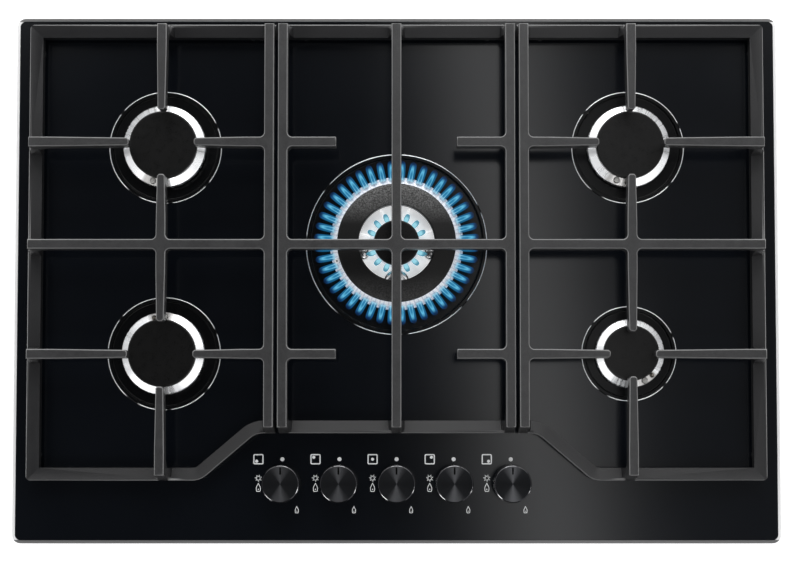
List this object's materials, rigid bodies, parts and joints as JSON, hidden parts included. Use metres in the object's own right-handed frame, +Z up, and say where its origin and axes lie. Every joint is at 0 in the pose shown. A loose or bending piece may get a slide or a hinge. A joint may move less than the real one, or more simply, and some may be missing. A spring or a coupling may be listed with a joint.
{
  "type": "gas cooktop",
  "caption": "Built-in gas-on-glass cooktop with round burners, cast-iron pan supports that lift off, push-and-turn knobs at the front and the gas train in a tray below.",
  "frame": {"origin": "middle of the glass at the height of the worktop's surface", "axes": "+X to the right seen from the front, +Y to the back, +Z up"},
  "size_m": [0.74, 0.51, 0.095],
  "materials": {
    "black_glass": "polished, printed black underneath",
    "rim_metal": "satin",
    "seal_foam": "soft foam",
    "tray_steel": "galvanised",
    "dish_enamel": "gloss black enamel with a bright lip",
    "cup_casting": "as cast",
    "crown_metal": "polished",
    "cap_enamel": "matt black enamel",
    "support_iron": "matt black enamel on cast iron",
    "foot_rubber": "moulded",
    "jet_brass": "machined",
    "plug_ceramic": "glazed white",
    "sensor_steel": "drawn",
    "grommet_rubber": "moulded",
    "tap_metal": "die cast",
    "plug_brass": "ground",
    "spindle_steel": "turned",
    "knob_black": "black with a spun face",
    "manifold_steel": "zinc plated",
    "pipe_metal": "drawn tube",
    "generator_case": "moulded",
    "gland_plastic": "moulded",
    "bracket_steel": "zinc plated"
  },
  "bodies": {
    "hob": {"glass_panel": "black_glass", "edge_trim": "rim_metal", "worktop_seal": "seal_foam", "burner_tray": "tray_steel", "burner_dish_rear_left": "dish_enamel", "burner_dish_front_left": "dish_enamel", "burner_dish_centre": "dish_enamel", "burner_dish_rear_right": "dish_enamel", "burner_dish_front_right": "dish_enamel", "burner_cup_rear_left": "cup_casting", "burner_cup_front_left": "cup_casting", "burner_cup_centre": "cup_casting", "burner_cup_rear_right": "cup_casting", "burner_cup_front_right": "cup_casting", "gas_jets": "jet_brass", "spark_plugs": "plug_ceramic", "flame_sensors": "sensor_steel", "knob_grommets": "grommet_rubber", "gas_tap_rear_left": "tap_metal", "gas_tap_front_left": "tap_metal", "gas_tap_centre": "tap_metal", "gas_tap_rear_right": "tap_metal", "gas_tap_front_right": "tap_metal", "gas_manifold": "manifold_steel", "supply_pipes": "pipe_metal", "spark_generator": "generator_case", "lead_gland": "gland_plastic", "clamp_brackets": "bracket_steel"},
    "support_left": {"pan_support_left": "support_iron", "support_feet_left": "foot_rubber"},
    "support_centre": {"pan_support_centre": "support_iron", "support_feet_centre": "foot_rubber"},
    "support_right": {"pan_support_right": "support_iron", "support_feet_right": "foot_rubber"},
    "crown_rear_left": {"flame_crown_rear_left": "crown_metal"},
    "cap_rear_left": {"burner_cap_rear_left": "cap_enamel"},
    "crown_front_left": {"flame_crown_front_left": "crown_metal"},
    "cap_front_left": {"burner_cap_front_left": "cap_enamel"},
    "crown_centre": {"flame_crown_centre": "crown_metal"},
    "cap_centre": {"burner_cap_centre": "cap_enamel"},
    "crown_rear_right": {"flame_crown_rear_right": "crown_metal"},
    "cap_rear_right": {"burner_cap_rear_right": "cap_enamel"},
    "crown_front_right": {"flame_crown_front_right": "crown_metal"},
    "cap_front_right": {"burner_cap_front_right": "cap_enamel"},
    "cap_centre_ring": {"burner_cap_centre_ring": "cap_enamel"},
    "plug_front_left": {"tap_plug_front_left": "plug_brass"},
    "knob_front_left": {"knob_front_left": "knob_black", "tap_spindle_front_left": "spindle_steel"},
    "plug_rear_left": {"tap_plug_rear_left": "plug_brass"},
    "knob_rear_left": {"knob_rear_left": "knob_black", "tap_spindle_rear_left": "spindle_steel"},
    "plug_centre": {"tap_plug_centre": "plug_brass"},
    "knob_centre": {"knob_centre": "knob_black", "tap_spindle_centre": "spindle_steel"},
    "plug_rear_right": {"tap_plug_rear_right": "plug_brass"},
    "knob_rear_right": {"knob_rear_right": "knob_black", "tap_spindle_rear_right": "spindle_steel"},
    "plug_front_right": {"tap_plug_front_right": "plug_brass"},
    "knob_front_right": {"knob_front_right": "knob_black", "tap_spindle_front_right": "spindle_steel"}
  },
  "joints": [
    {"name": "lift_support_left", "type": "slide", "parent": "hob", "child": "support_left", "axis": [0, 0, 1], "range_m": [0, 0.12]},
    {"name": "lift_support_centre", "type": "slide", "parent": "hob", "child": "support_centre", "axis": [0, 0, 1], "range_m": [0, 0.12]},
    {"name": "lift_support_right", "type": "slide", "parent": "hob", "child": "support_right", "axis": [0, 0, 1], "range_m": [0, 0.12]},
    {"name": "lift_crown_rear_left", "type": "slide", "parent": "hob", "child": "crown_rear_left", "axis": [0, 0, 1], "range_m": [0, 0.006]},
    {"name": "lift_cap_rear_left", "type": "slide", "parent": "crown_rear_left", "child": "cap_rear_left", "axis": [0, 0, 1], "range_m": [0, 0.006]},
    {"name": "lift_crown_front_left", "type": "slide", "parent": "hob", "child": "crown_front_left", "axis": [0, 0, 1], "range_m": [0, 0.006]},
    {"name": "lift_cap_front_left", "type": "slide", "parent": "crown_front_left", "child": "cap_front_left", "axis": [0, 0, 1], "range_m": [0, 0.006]},
    {"name": "lift_crown_centre", "type": "slide", "parent": "hob", "child": "crown_centre", "axis": [0, 0, 1], "range_m": [0, 0.006]},
    {"name": "lift_cap_centre", "type": "slide", "parent": "crown_centre", "child": "cap_centre", "axis": [0, 0, 1], "range_m": [0, 0.006]},
    {"name": "lift_crown_rear_right", "type": "slide", "parent": "hob", "child": "crown_rear_right", "axis": [0, 0, 1], "range_m": [0, 0.006]},
    {"name": "lift_cap_rear_right", "type": "slide", "parent": "crown_rear_right", "child": "cap_rear_right", "axis": [0, 0, 1], "range_m": [0, 0.006]},
    {"name": "lift_crown_front_right", "type": "slide", "parent": "hob", "child": "crown_front_right", "axis": [0, 0, 1], "range_m": [0, 0.006]},
    {"name": "lift_cap_front_right", "type": "slide", "parent": "crown_front_right", "child": "cap_front_right", "axis": [0, 0, 1], "range_m": [0, 0.006]},
    {"name": "lift_cap_centre_ring", "type": "slide", "parent": "crown_centre", "child": "cap_centre_ring", "axis": [0, 0, 1], "range_m": [0, 0.006]},
    {"name": "turn_front_left", "type": "hinge", "parent": "hob", "child": "plug_front_left", "pos_m": [-0.11, -0.197, 0.02], "axis": [0, 0, 1], "range_deg": [0, 207]},
    {"name": "press_front_left", "type": "slide", "parent": "plug_front_left", "child": "knob_front_left", "axis": [0, 0, -1], "range_m": [0, 0.0035], "stiffness_N_per_m": 1500, "springref_m": -0.002},
    {"name": "turn_rear_left", "type": "hinge", "parent": "hob", "child": "plug_rear_left", "pos_m": [-0.055, -0.197, 0.02], "axis": [0, 0, 1], "range_deg": [0, 207]},
    {"name": "press_rear_left", "type": "slide", "parent": "plug_rear_left", "child": "knob_rear_left", "axis": [0, 0, -1], "range_m": [0, 0.0035], "stiffness_N_per_m": 1500, "springref_m": -0.002},
    {"name": "turn_centre", "type": "hinge", "parent": "hob", "child": "plug_centre", "pos_m": [0, -0.197, 0.02], "axis": [0, 0, 1], "range_deg": [0, 207]},
    {"name": "press_centre", "type": "slide", "parent": "plug_centre", "child": "knob_centre", "axis": [0, 0, -1], "range_m": [0, 0.0035], "stiffness_N_per_m": 1500, "springref_m": -0.002},
    {"name": "turn_rear_right", "type": "hinge", "parent": "hob", "child": "plug_rear_right", "pos_m": [0.055, -0.197, 0.02], "axis": [0, 0, 1], "range_deg": [0, 207]},
    {"name": "press_rear_right", "type": "slide", "parent": "plug_rear_right", "child": "knob_rear_right", "axis": [0, 0, -1], "range_m": [0, 0.0035], "stiffness_N_per_m": 1500, "springref_m": -0.002},
    {"name": "turn_front_right", "type": "hinge", "parent": "hob", "child": "plug_front_right", "pos_m": [0.11, -0.197, 0.02], "axis": [0, 0, 1], "range_deg": [0, 207]},
    {"name": "press_front_right", "type": "slide", "parent": "plug_front_right", "child": "knob_front_right", "axis": [0, 0, -1], "range_m": [0, 0.0035], "stiffness_N_per_m": 1500, "springref_m": -0.002}
  ]
}
